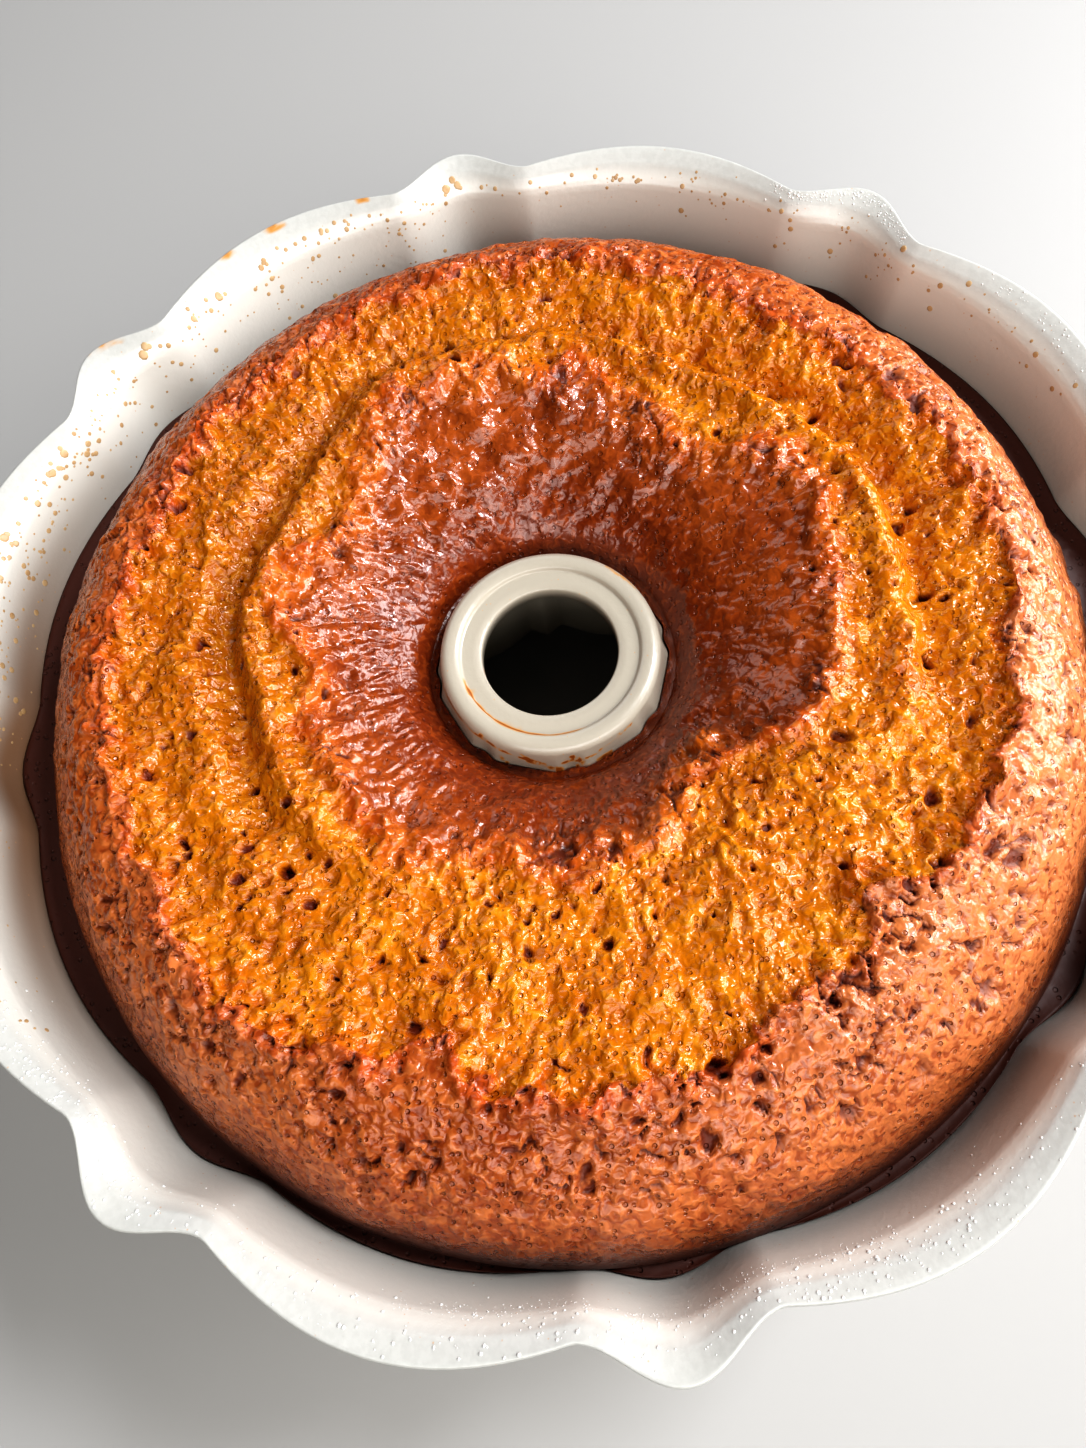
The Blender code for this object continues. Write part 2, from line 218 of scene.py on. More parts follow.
def bump(value, middle, width):
    return np.exp(-((value - middle) / width) ** 2)


def flutes(angle, narrow_depth, wide_depth):
    """Depth of the fluting at angles in radians: zero on the ridges, full in each flute."""
    offset = np.abs((angle + 0.5 * PERIOD) % PERIOD - 0.5 * PERIOD)
    wide_half = 0.5 * PERIOD - NARROW_HALF
    narrow = narrow_depth * np.cos(0.5 * math.pi * np.minimum(offset / NARROW_HALF, 1.0)) ** 2
    wide = wide_depth * np.sin(0.5 * math.pi * np.maximum(offset - NARROW_HALF, 0.0) / wide_half)
    return narrow + wide


def round_curve(values, angle):
    """A smooth closed curve through values spaced evenly round the circle."""
    values = np.asarray(values, dtype=float)
    place = (np.degrees(angle) % 360.0) * len(values) / 360.0
    start = np.floor(place).astype(int)
    t = place - start
    a, b, c, d = [values[(start + k) % len(values)] for k in (-1, 0, 1, 2)]
    bend = 2.0 * a - 5.0 * b + 4.0 * c - d + t * (3.0 * (b - c) + d - a)
    return b + 0.5 * t * (c - a + t * bend)


def arc_window(angle, middle, half_width):
    """One at the middle angle, falling smoothly to zero at half_width degrees on each side."""
    offset = np.abs((np.degrees(angle) - middle + 180.0) % 360.0 - 180.0)
    return 0.5 + 0.5 * np.cos(math.pi * np.minimum(offset / half_width, 1.0))


def lattice_random(cell, seed):
    """A number from 0 to 1 for each lattice cell, the same for the same cell and seed."""
    x, y, z = (cell[..., i].astype(np.int64).astype(np.uint32) for i in range(3))
    h = x * np.uint32(374761393) + y * np.uint32(668265263) + z * np.uint32(2246822519)
    h = h + np.uint32(seed * 3266489917 % 4294967296)
    h = (h ^ (h >> np.uint32(13))) * np.uint32(1274126177)
    h = (h ^ (h >> np.uint32(16))) * np.uint32(2246822519)
    return (h ^ (h >> np.uint32(15))).astype(np.float64) / 4294967296.0


def noise(points, size, seed):
    """Smooth noise from -1 to 1 with grains of the given size."""
    place = points / size
    cell = np.floor(place)
    t = place - cell
    t = t * t * t * (t * (t * 6.0 - 15.0) + 10.0)
    total = 0.0
    for dx in (0, 1):
        for dy in (0, 1):
            for dz in (0, 1):
                weight = (t[..., 0] if dx else 1.0 - t[..., 0])
                weight = weight * (t[..., 1] if dy else 1.0 - t[..., 1])
                weight = weight * (t[..., 2] if dz else 1.0 - t[..., 2])
                total = total + weight * lattice_random(cell + (dx, dy, dz), seed)
    return 2.0 * total - 1.0


def layered_noise(points, size, octaves, seed):
    total = 0.0
    for i in range(octaves):
        total = total + noise(points, size / 2 ** i, seed + 17 * i) / 2 ** i
    return total


def warp(points, size, amount, seed):
    """Points shifted about by smooth noise, so that what is drawn on them turns irregular."""
    shift = [noise(points, size, seed + 101 * i) for i in range(3)]
    return points + amount * np.stack(shift, axis=-1)


def grains(points, size, seed):
    """Distance in millimetres to the nearest of scattered grains, and that grain's own number."""
    place = points / size
    cell = np.floor(place)
    nearest = np.full(points.shape[:-1], 9.0)
    own = np.zeros(points.shape[:-1])
    for dx in (-1, 0, 1):
        for dy in (-1, 0, 1):
            for dz in (-1, 0, 1):
                near = cell + (dx, dy, dz)
                jitter = [lattice_random(near, seed + i) for i in (1, 2, 3)]
                gap = near + np.stack(jitter, axis=-1) - place
                distance = np.einsum("...i,...i->...", gap, gap)
                closer = distance < nearest
                nearest = np.where(closer, distance, nearest)
                own = np.where(closer, lattice_random(near, seed + 4), own)
    return np.sqrt(nearest) * size, own


def pores(points, size, seed, share, smallest, largest, edge=0.45):
    """Round pits from 0 on the surface to 1 at the bottom, in a share of the grains' places."""
    distance, own = grains(points, size, seed)
    radius = mix(smallest, largest, (own / share) ** 2)
    return smooth_step(radius, edge * radius, distance) * (own < share)


def added(forms, amounts):
    """The named forms, each times its amount, added up."""
    return sum(amount * forms[name] for name, amount in amounts.items())


def deepest(forms, amounts):
    """The largest of the named forms, each times its amount."""
    return np.maximum.reduce([amount * forms[name] for name, amount in amounts.items()])


def shoulder_radius(z, angle):
    sine = (z - CREST_Z + SHOULDER_DEPTH) / SHOULDER_DEPTH
    radius = CREST_R + SHOULDER_REACH * np.sqrt(np.maximum(1.0 - sine * sine, 0.0))
    swell = SHOULDER_SWELL - SHOULDER_FRONT * np.sin(angle) - SHOULDER_OVAL * np.cos(2.0 * angle)
    return radius + swell * smooth_step(SWELL_START_R, SWELL_FULL_R, radius)


def slope_height(radius):
    """The dome's broad crest and its slope down to the tube, before it cracked."""
    t = np.clip((INNER_CREST_R - radius) / INNER_REACH, 0.0, 1.0)
    return CREST_Z - INNER_DEPTH * (1.0 - (1.0 - t * t) ** INNER_FULLNESS)


class Row:
    """One ring of the tin's cavity: radius, height, direction out of the cake and flute depths."""

    def __init__(self, radius, height, out, narrow, wide):
        self.radius = radius
        self.height = height
        self.out = out
        self.narrow = narrow
        self.wide = wide

    def ring(self, angles, offset=0.0):
        depth = flutes(angles, self.narrow, self.wide) + offset
        radius = self.radius + self.out[0] * depth
        return ring_points(radius, angles, self.height + self.out[1] * depth)


def ring_points(radius, angles, height):
    height = height + 0.0 * angles
    return np.stack([radius * np.cos(angles), radius * np.sin(angles), height], axis=-1)


def wall_radius(z):
    return BEND_R - (BEND_Z - z) * math.tan(WALL_LEAN)


def wall_row(z):
    out = (math.cos(WALL_LEAN), -math.sin(WALL_LEAN))
    narrow = np.interp(z, WALL_FLUTE_Z, WALL_NARROW)
    wide = np.interp(z, WALL_FLUTE_Z, WALL_WIDE)
    return Row(wall_radius(z), z, out, narrow, wide)


def bowl_row(reach, top_z, degrees, narrow, wide):
    c = math.cos(math.radians(degrees))
    s = math.sin(math.radians(degrees))
    drop = top_z - FLOOR_Z
    out = (c / reach, -s / drop)
    length = math.hypot(*out)
    return Row(FLOOR_R + reach * c, top_z - drop * s, (out[0] / length, out[1] / length), narrow, wide)


def tube_row(z):
    lean = math.atan2(TUBE_FOOT_R - TUBE_R, TUBE_SIDE_Z - TUBE_FOOT_Z)
    t = (z - TUBE_FOOT_Z) / (TUBE_SIDE_Z - TUBE_FOOT_Z)
    depth = np.interp(t, (0.0, 0.5, 1.0), TUBE_FLUTES)
    return Row(mix(TUBE_FOOT_R, TUBE_R, t), z, (-math.cos(lean), -math.sin(lean)), depth, depth)


def bowl_rows(outer_degrees, inner_degrees):
    wall_reach = wall_radius(WALL_FOOT_Z) - FLOOR_R
    tube_reach = TUBE_FOOT_R - FLOOR_R
    rows = []
    for degrees in outer_degrees:
        narrow = np.interp(degrees, OUTER_DEGREES, OUTER_NARROW)
        wide = np.interp(degrees, OUTER_DEGREES, OUTER_WIDE)
        rows.append(bowl_row(wall_reach, WALL_FOOT_Z, degrees, narrow, wide))
    for degrees in inner_degrees:
        narrow = np.interp(degrees, INNER_DEGREES, INNER_NARROW)
        wide = np.interp(degrees, INNER_DEGREES, INNER_WIDE)
        rows.append(bowl_row(tube_reach, TUBE_FOOT_Z, degrees, narrow, wide))
    return rows


def closed_grid(name, rings, attributes=None):
    """A closed mesh over rings of equal size that follow each other round the section."""
    points = np.asarray(rings) * MM
    rows, columns = points.shape[:2]
    index = np.arange(rows * columns).reshape(rows, columns)
    below = np.roll(index, -1, axis=0)
    quads = np.stack([index, below, np.roll(below, -1, axis=1), np.roll(index, -1, axis=1)], axis=-1)
    mesh = bpy.data.meshes.new(name)
    mesh.vertices.add(rows * columns)
    mesh.vertices.foreach_set("co", points.reshape(-1))
    mesh.loops.add(quads.size)
    mesh.loops.foreach_set("vertex_index", quads.reshape(-1).astype(np.int32))
    mesh.polygons.add(rows * columns)
    mesh.polygons.foreach_set("loop_start", np.arange(0, quads.size, 4, dtype=np.int32))
    for label, values in (attributes or {}).items():
        data = mesh.attributes.new(label, "FLOAT", "POINT").data
        data.foreach_set("value", np.ascontiguousarray(values, dtype=np.float32).reshape(-1))
    mesh.update(calc_edges=True)
    mesh.shade_smooth()
    piece = bpy.data.objects.new(name, mesh)
    bpy.context.scene.collection.objects.link(piece)
    return piece


def linear(red, green, blue):
    """A colour given as it shows on a screen, from 0 to 255, as the shader's linear numbers."""
    values = [c / 255.0 for c in (red, green, blue)]
    return tuple(c / 12.92 if c <= 0.04045 else ((c + 0.055) / 1.055) ** 2.4 for c in values) + (1.0,)


class Nodes:
    """Short ways to add and join nodes in one material."""

    def __init__(self, name):
        self.material = bpy.data.materials.new(name)
        self.material.use_nodes = True
        self.tree = self.material.node_tree
        self.shader = self.tree.nodes["Principled BSDF"]

    def add(self, kind, **settings):
        node = self.tree.nodes.new(kind)
        for key, value in settings.items():
            setattr(node, key, value)
        return node

    def feed(self, socket, value):
        if isinstance(value, bpy.types.NodeSocket):
            self.tree.links.new(value, socket)
        else:
            socket.default_value = value

    def attribute(self, name):
        return self.add("ShaderNodeAttribute", attribute_name=name).outputs["Fac"]

    def place(self):
        return self.add("ShaderNodeTexCoord").outputs["Object"]

    def noise(self, scale, detail=4.0, roughness=0.55, distortion=0.0, place=None):
        node = self.add("ShaderNodeTexNoise")
        self.feed(node.inputs["Vector"], place or self.place())
        node.inputs["Scale"].default_value = scale
        node.inputs["Detail"].default_value = detail
        node.inputs["Roughness"].default_value = roughness
        node.inputs["Distortion"].default_value = distortion
        return node.outputs["Fac"]

    def grains(self, scale):
        node = self.add("ShaderNodeTexVoronoi")
        self.feed(node.inputs["Vector"], self.place())
        node.inputs["Scale"].default_value = scale
        return node

    def sum(self, kind, a, b):
        node = self.add("ShaderNodeMath", operation=kind)
        self.feed(node.inputs[0], a)
        self.feed(node.inputs[1], b)
        return node.outputs[0]

    def part(self, mask, most):
        """A mask scaled to reach only a part of its full strength."""
        return self.sum("MULTIPLY", mask, most)

    def ramp(self, value, low, high, start=0.0, end=1.0):
        node = self.add("ShaderNodeMapRange", interpolation_type="SMOOTHSTEP")
        for label, number in (("Value", value), ("From Min", low), ("From Max", high),
                              ("To Min", start), ("To Max", end)):
            self.feed(node.inputs[label], number)
        return node.outputs["Result"]

    def blend(self, share, a, b):
        node = self.add("ShaderNodeMix", data_type="RGBA")
        self.feed(node.inputs["Factor"], share)
        self.feed(node.inputs["A"], a)
        self.feed(node.inputs["B"], b)
        return node.outputs["Result"]

    def mottle(self, share, low, high):
        """A colour that wanders between two, given as they show on a screen."""
        return self.blend(share, linear(*low), linear(*high))

    def layers(self, colour, *coats):
        """A colour under coats of others. A coat is where it shows and its colour on a screen."""
        for share, over in coats:
            colour = self.blend(share, colour, linear(*over))
        return colour

    def bump(self, height, distance, strength=1.0):
        node = self.add("ShaderNodeBump")
        node.inputs["Strength"].default_value = strength
        node.inputs["Distance"].default_value = distance
        self.feed(node.inputs["Height"], height)
        return node.outputs["Normal"]


def cake_top(angles):
    """The smooth top, ring by ring from the wall to the tube, as radii and heights."""
    radii, heights, kinds = [], [], []
    ledge = wall_row(LEDGE_Z)
    wall = ledge.radius + flutes(angles, ledge.narrow, ledge.wide) - GAP
    foot = shoulder_radius(LEDGE_Z, angles)
    for t in np.linspace(1.0, 0.0, LEDGE_ROWS):
        radii.append(mix(foot, wall, t))
        dip = 0.9 * math.sin(math.pi * (1.0 - t) * 0.55)
        heights.append(LEDGE_Z - dip + 0.0 * angles)
        kinds.append(t)
    start = math.asin((LEDGE_Z - CREST_Z + SHOULDER_DEPTH) / SHOULDER_DEPTH)
    for phi in np.linspace(start, 0.5 * math.pi, SHOULDER_ROWS)[1:]:
        z = CREST_Z - SHOULDER_DEPTH * (1.0 - math.sin(phi))
        radii.append(shoulder_radius(z, angles))
        heights.append(z + 0.0 * angles)
        kinds.append(-1.0)
    slope = [CREST_R]
    while slope[-1] > 27.2:
        here = slope[-1]
        steep = (slope_height(here) - slope_height(here - 0.1)) / 0.1
        slope.append(here - ROW_STEP / math.sqrt(1.0 + steep * steep))
    for radius in slope[1:]:
        radii.append(radius + 0.0 * angles)
        heights.append(slope_height(radius) + 0.0 * angles)
        kinds.append(-1.0)
    return np.array(radii), np.array(heights), np.array(kinds)


def tear_lines(points, angle):
    """Radii of the ragged lines round the dome: the torn crust, the browned island and the ridge."""
    ragged = 2.2 * layered_noise(points, 8.0, 4, 11) + 1.7 * noise(warp(points, 3.0, 1.2, 13), 2.3, 12)
    reach = sum(size * arc_window(angle, middle, half) for middle, size, half in TONGUES)
    torn = round_curve(CRUST_EDGE, angle) - reach + ragged
    island = round_curve(ISLAND_EDGE, angle) + 3.6 * layered_noise(points, 9.0, 4, 21)
    ridge = round_curve(RIDGE, angle) + 1.5 * layered_noise(points, 12.0, 2, 31)
    return torn, island, ridge


def crack_lift(points, radius, angle, crust, torn, island, ridge):
    """How far the crack's large forms raise or sink the smooth dome."""
    inside = smooth_step(island - 3.0, island + 6.0, radius)
    inside = inside * smooth_step(torn, torn - CRACK_OUTER_SLOPE, radius)
    lift = -CRACK_DROP * inside
    lift -= CRUST_STEP * smooth_step(torn + 0.2, torn - 1.0, radius) * (1.0 - inside)
    lift += ISLAND_STEP * bump(radius, island - 3.0, ISLAND_STEP_WIDTH)
    for middle, half, rise, depth in CLIFFS:
        here = arc_window(angle, middle, half)
        lift += here * rise * bump(radius, ridge, RIDGE_WIDTH)
        lift -= here * depth * bump(radius, ridge + TROUGH_REACH, TROUGH_WIDTH)
    uneven = smooth_step(-0.7, 0.6, noise(points, 7.0, 97))
    return lift + LIP_RISE * uneven * crust * bump(radius, torn + 1.2, 1.7)


def placed_holes(bent):
    """Depth of the listed holes, and the painted shade in each: a shallow dimple gets hardly any."""
    jagged = warp(bent, 1.2, 0.55, 43)
    sunk, hole_shade = np.zeros(bent.shape[:-1]), np.zeros(bent.shape[:-1])
    for degrees, radius, width, depth in HOLES + CRUST_HOLES:
        x = radius * math.cos(math.radians(degrees))
        y = radius * math.sin(math.radians(degrees))
        away = np.hypot(jagged[..., 0] - x, jagged[..., 1] - y)
        pit = smooth_step(0.55 * width, 0.2 * width, away)
        sunk += depth * pit
        hole_shade = np.maximum(hole_shade, pit * smooth_step(0.2, 0.6, depth / width))
    return sunk, hole_shade


def fine_forms(points, bent, radius, angle):
    """Each kind of fine form by name: knobs and folds about 1 high, pores and pits from 0 to 1."""
    soft = warp(points, 4.0, 1.3, 51)
    torn_skin = warp(points, 3.0, 1.5, 53)
    turned = np.stack([soft[..., 0] + 0.7 * soft[..., 1], soft[..., 1] - 0.7 * soft[..., 0],
                       1.2 * soft[..., 2]], axis=-1)
    folds = 0.6 * layered_noise(turned, 5.6, 2, 105) + 0.6 * layered_noise(soft, 3.7, 2, 106)
    bead_away = grains(warp(points, 2.5, 0.8, 55), 2.4, 85)[0]
    line = np.abs(layered_noise(torn_skin, 5.0, 2, 91))
    # Wrinkles run down the slope to the tube, most on the left
    streaks = np.stack([angle * 34.0 + 0.4 * bent[..., 0], radius * 0.4, 0.4 * bent[..., 1]], axis=-1)
    wrinkle = 1.0 - 1.7 * np.abs(layered_noise(streaks, 2.4, 2, 121))
    return {"small_pores": pores(soft, 2.2, 61, 0.55, 0.3, 0.9),
            "large_pores": pores(warp(points, 3.0, 1.5, 52), 4.6, 71, 0.42, 0.6, 1.8, 0.5),
            "dents": pores(soft, 4.4, 75, 0.75, 1.0, 2.5, 0.0),
            "nicks": pores(warp(points, 1.7, 1.5, 57), 3.4, 73, 0.32, 0.35, 1.2, 0.6),
            "fine_pores": pores(points, 1.6, 81, 0.6, 0.3, 0.6),
            "crevice": smooth_step(0.2, 0.05, line) * smooth_step(0.0, 0.25, noise(points, 4.5, 93)),
            "beads": 1.0 - np.clip(bead_away / 1.6, 0.0, 1.0) ** 2,
            "waves": layered_noise(points, 13.0, 2, 101),
            "lumps": layered_noise(warp(points, 5.0, 1.5, 103), 6.5, 2, 104),
            "folds": 1.0 - 1.6 * np.abs(folds),
            "grain": layered_noise(points, 2.6, 2, 111),
            "crags": layered_noise(torn_skin, 3.4, 2, 95),
            "wrinkle": wrinkle * (0.35 + 0.65 * arc_window(angle, 140.0, 110.0))}


def surface_normals(points):
    """Upward normals of a grid of points."""
    along = np.roll(points, -1, axis=1) - np.roll(points, 1, axis=1)
    normal = np.cross(along, np.gradient(points, axis=0))
    normal /= np.linalg.norm(normal, axis=-1, keepdims=True)
    return normal * np.where(normal[..., 2:] < 0.0, -1.0, 1.0)


def hidden_rings(angles):
    """The cake's hidden part, down the tube and round the cavity back to the ledge."""
    rows = [tube_row(z) for z in np.linspace(TUBE_SIDE_Z, TUBE_FOOT_Z, TUBE_ROWS)]
    rows += reversed(bowl_rows((10, 20, 30, 41, 52, 62, 72, 81), (83, 77, 64, 52, 39, 26, 13)))
    rows += [wall_row(z) for z in (WALL_FOOT_Z, 56.0, 66.0, 72.0)]
    return np.array([row.ring(angles, -GAP) for row in rows])


def make_cake():
    angles = np.arange(CAKE_ANGLES) * 2.0 * math.pi / CAKE_ANGLES
    radius, height, kind = cake_top(angles)
    angle = np.broadcast_to(angles, radius.shape)
    points = np.stack([radius * np.cos(angle), radius * np.sin(angle), height], axis=-1)
    on_ledge = (kind >= 0.0)[:, None] & np.ones_like(radius, dtype=bool)

    # Where each surface is
    torn, island, ridge = tear_lines(points, angle)
    crust = smooth_step(torn - 0.5, torn + 0.3, radius)
    crumb = smooth_step(island - 7.0, island + 6.0, radius) * (1.0 - crust)
    inner = (1.0 - crumb) * (1.0 - crust)
    torn_band = bump(radius, torn + 0.5, 5.0)
    near_island = smooth_step(island - 16.0, island - 2.0, radius)
    front = 0.5 - 0.5 * np.sin(angle)
    coarse = np.maximum(bump(radius, torn + 2.0, 8.0), front * smooth_step(114.0, 104.0, radius))
    coarse = 0.3 + 0.7 * coarse

    # Relief of each surface
    bent = warp(points, 2.6, 1.3, 41)
    sunk, hole_shade = placed_holes(bent)
    forms = fine_forms(points, bent, radius, angle)
    calm = 0.55 + 0.6 * smooth_step(-0.4, 0.4, noise(points, 8.0, 131))
    sponge = calm * added(forms, SPONGE_KNOBS) - added(forms, SPONGE_PORES)
    relief = crumb * (sponge + added(forms, CRUMB_FORMS) + torn_band * added(forms, CRUMB_TEAR))
    relief += crust * (added(forms, CRUST_FORMS) + torn_band * added(forms, CRUST_TEAR))
    relief += crust * coarse * added(forms, CRUST_ROUGH)
    relief += inner * (added(forms, INNER_FORMS) + near_island * added(forms, INNER_EDGE))
    near_tube = smooth_step(27.0, 36.0, radius)
    low_edge = smooth_step(LEDGE_Z + 0.5, LEDGE_Z + 9.0, height)
    relief = relief * np.where(on_ledge, 0.12, 0.15 + 0.85 * near_tube * low_edge)

    # Relief goes along the smooth surface's normal, the large forms straight up
    lift = crack_lift(points, radius, angle, crust, torn, island, ridge) - sunk
    points = points + surface_normals(points) * relief[..., None]
    points[..., 2] += lift
    points[0] = wall_row(LEDGE_Z).ring(angles, -GAP)

    # Masks for the material; the lip and the patchy browning and painted shade beside the torn crust are
    # drawn on the shifted points
    # Painted shade in the pits and pores
    crust_pits = np.maximum(deepest(forms, CRUST_PITS) * coarse, CRUST_FINE_PITS * forms["fine_pores"])
    pits = crumb * deepest(forms, CRUMB_PITS) + crust * crust_pits
    pits = pits + inner * deepest(forms, INNER_PITS) * near_island
    lip = bump(radius, torn + 0.6, 2.4) * smooth_step(-0.8, 0.4, noise(points, 5.0, 98))
    patchiness = smooth_step(-0.5, 0.7, layered_noise(points, 5.0, 2, 99))
    # Painted shade: the crust is darkened at the front and the back, where less light falls on it
    crust_side_shade = np.maximum(arc_window(angle, 255.0, 80.0), 0.7 * arc_window(angle, 95.0, 60.0))
    # lift follows the sponge's relief, for painted light on its knobs and painted shade in its hollows
    masks = {"crumb": crumb, "crust": crust, "pit": np.maximum(pits, hole_shade), "lift": 0.5 + 0.25 * sponge,
             # Darker down towards the ledge: partly a browner bottom crust, partly painted shade in the
             # gap between the cake and the tin
             "ledge": np.where(on_ledge, 1.0, smooth_step(LEDGE_Z + 7.0, LEDGE_Z, height)),
             "low": smooth_step(LEDGE_Z + 19.0, LEDGE_Z + 2.0, height), "edge": lip,
             # Beside the torn crust: partly browner crumb, partly painted shade below the crust's raised
             # edge
             "singe_and_shade": smooth_step(torn - 7.0, torn, radius) * patchiness,
             "hollow": smooth_step(60.0, 27.0, radius),
             # Crumb: partly a browner crumb on the left, partly painted shade in the trough there; crust:
             # the painted shade above
             "toasted_and_shaded": mix(arc_window(angle, 150.0, 110.0), crust_side_shade, crust),
             # Painted sheen and light: the crust is paled on the right, where the lamps' sheen falls, and
             # a little at the lower left
             "pale_and_sheen": np.maximum(arc_window(angle, 335.0, 95.0), 0.45 * arc_window(angle, 218.0, 34.0)),
             "rim": near_island}

    under = hidden_rings(angles)
    filler = np.zeros(under.shape[:2])
    below_tube = filler + (np.arange(len(under))[:, None] >= TUBE_ROWS)
    full = {"crust": below_tube, "ledge": below_tube, "low": below_tube, "lift": filler + 0.5,
            "hollow": filler + 1.0}
    attributes = {k: np.concatenate([v, full.get(k, filler)]) for k, v in masks.items()}
    return closed_grid("baked_cake", np.concatenate([points, under]), attributes)


def cake_material():
    n = Nodes("baked_cake")
    crumb, crust = n.attribute("crumb"), n.attribute("crust")
    pit, lift, ledge = n.attribute("pit"), n.attribute("lift"), n.attribute("ledge")
    toasted_and_shaded, pale_and_sheen = n.attribute("toasted_and_shaded"), n.attribute("pale_and_sheen")
    patches = n.noise(60.0, 5.0, 0.6)
    knobs = n.noise(560.0, 0.6, 0.4, 0.9)
    fine = n.noise(1100.0, 2.0, 0.6, 0.8)
    # Painted highlight on the knobs' tops (high) and painted shade between them (deep), from the noise
    # that also makes the bump
    high = n.ramp(knobs, 0.52, 0.7)
    deep = n.ramp(knobs, 0.46, 0.3)
    # Pin pores: sunk in the bump, with painted shade in them
    pins = n.grains(640.0)
    chosen = n.ramp(pins.outputs["Color"], 0.5, 0.58)
    pin = n.sum("MULTIPLY", n.ramp(pins.outputs["Distance"], 0.36, 0.2), chosen)

    broad = n.ramp(patches, 0.3, 0.7)
    crumb_colour = n.layers(n.mottle(broad, (172, 91, 3), (194, 114, 7)),
                            # Painted light and shade: lighter on the sponge's raised knobs, darker in its
                            # hollows
                            (n.ramp(lift, 0.55, 0.95), (212, 134, 15)),
                            (n.ramp(lift, 0.5, 0.05), (178, 90, 3)),
                            # Partly browner crumb on the left, partly painted shade in its trough
                            (n.part(toasted_and_shaded, 0.75), (156, 86, 2)),
                            # Partly browner crumb, partly painted shade beside the torn crust
                            (n.part(n.attribute("singe_and_shade"), 0.7), (190, 88, 9)),
                            (n.part(high, 0.2), (236, 172, 60)),
                            (n.part(deep, 0.25), (164, 76, 2)),
                            (n.ramp(pit, 0.15, 0.95), (112, 38, 1)),
                            (n.part(pin, 0.35), (124, 50, 1)))
    crust_colour = n.layers(n.mottle(broad, (160, 75, 24), (188, 102, 44)),
                            # Painted shade on the crust at the front and the back
                            (n.part(toasted_and_shaded, 0.45), (132, 58, 16)),
                            # Painted sheen: the paler crust on the right and at the lower left
                            (n.part(pale_and_sheen, 0.6), (202, 134, 88)),
                            (n.part(n.attribute("edge"), 0.5), (186, 74, 18)),
                            (n.part(high, 0.4), (220, 136, 76)),
                            (n.part(deep, 0.65), (124, 46, 8)),
                            (n.ramp(pit, 0.2, 1.0), (100, 36, 6)),
                            (n.part(pin, 0.45), (90, 28, 3)),
                            # Partly browner crust, partly painted shade towards the gap by the tin
                            (n.part(n.attribute("low"), 0.8), (90, 36, 8)))
    inner_colour = n.layers(n.mottle(broad, (124, 54, 13), (158, 78, 24)),
                            (n.ramp(n.attribute("hollow"), 0.4, 1.0), (116, 46, 8)),
                            (n.part(high, 0.3), (184, 92, 34)),
                            (n.part(deep, 0.4), (96, 30, 3)),
                            (n.ramp(pit, 0.2, 0.95), (62, 15, 1)))
    border = n.layers(n.mottle(n.ramp(patches, 0.35, 0.65), (172, 78, 16), (196, 106, 24)),
                      (n.part(high, 0.35), (228, 152, 78)),
                      (n.ramp(pit, 0.2, 0.95), (90, 27, 1)))

    # The inner slope pales into the border, and the border tears into the crumb
    near = n.sum("ADD", n.attribute("rim"), n.part(n.sum("SUBTRACT", patches, 0.5), 0.9))
    torn = n.sum("ADD", crumb, n.part(n.sum("SUBTRACT", fine, 0.5), 0.5))
    colour = n.blend(n.ramp(near, 0.35, 1.05, 0.0, 0.75), inner_colour, border)
    colour = n.blend(n.ramp(torn, 0.02, 0.45), colour, border)
    colour = n.blend(n.ramp(torn, 0.4, 0.9), colour, crumb_colour)
    colour = n.blend(crust, colour, crust_colour)
    # The cake on and by the ledge: partly dark crust, partly painted shade in the gap
    n.feed(n.shader.inputs["Base Color"], n.layers(colour, (ledge, (68, 26, 9))))

    rough = n.ramp(n.sum("MAXIMUM", crust, n.part(crumb, 0.7)), 0.0, 1.0, 0.14, 0.2)
    for mask, most in ((fine, 0.08), (ledge, 0.35), (pit, 0.35)):
        rough = n.sum("ADD", rough, n.part(mask, most))
    n.feed(n.shader.inputs["Roughness"], rough)

    # A greasy coat on the inner slope, and a little on the crust where it is paled by the painted sheen
    dull_crust = n.sum("MULTIPLY", crust, n.ramp(pale_and_sheen, 0.0, 1.0, 1.0, 0.6))
    dull = n.sum("ADD", crumb, dull_crust)
    n.feed(n.shader.inputs["Coat Weight"], n.ramp(dull, 0.0, 1.0, 0.45, 0.0))
    n.shader.inputs["Coat Roughness"].default_value = 0.3

    rugged = n.ramp(n.sum("MAXIMUM", crumb, n.part(crust, 0.5)), 0.0, 1.0, 0.35, 0.7)
    rugged = n.sum("MULTIPLY", rugged, n.ramp(ledge, 0.0, 1.0, 1.0, 0.1))
    height = n.sum("MULTIPLY", n.sum("ADD", knobs, n.part(fine, 0.05)), rugged)
    height = n.sum("SUBTRACT", height, n.part(pin, 0.35))
    n.feed(n.shader.inputs["Normal"], n.bump(height, 0.001))
    return n.material


def fluted_ring(angles, radius, height, narrow=0.0, wide=0.0):
    return ring_points(radius + flutes(angles, narrow, wide), angles, height)


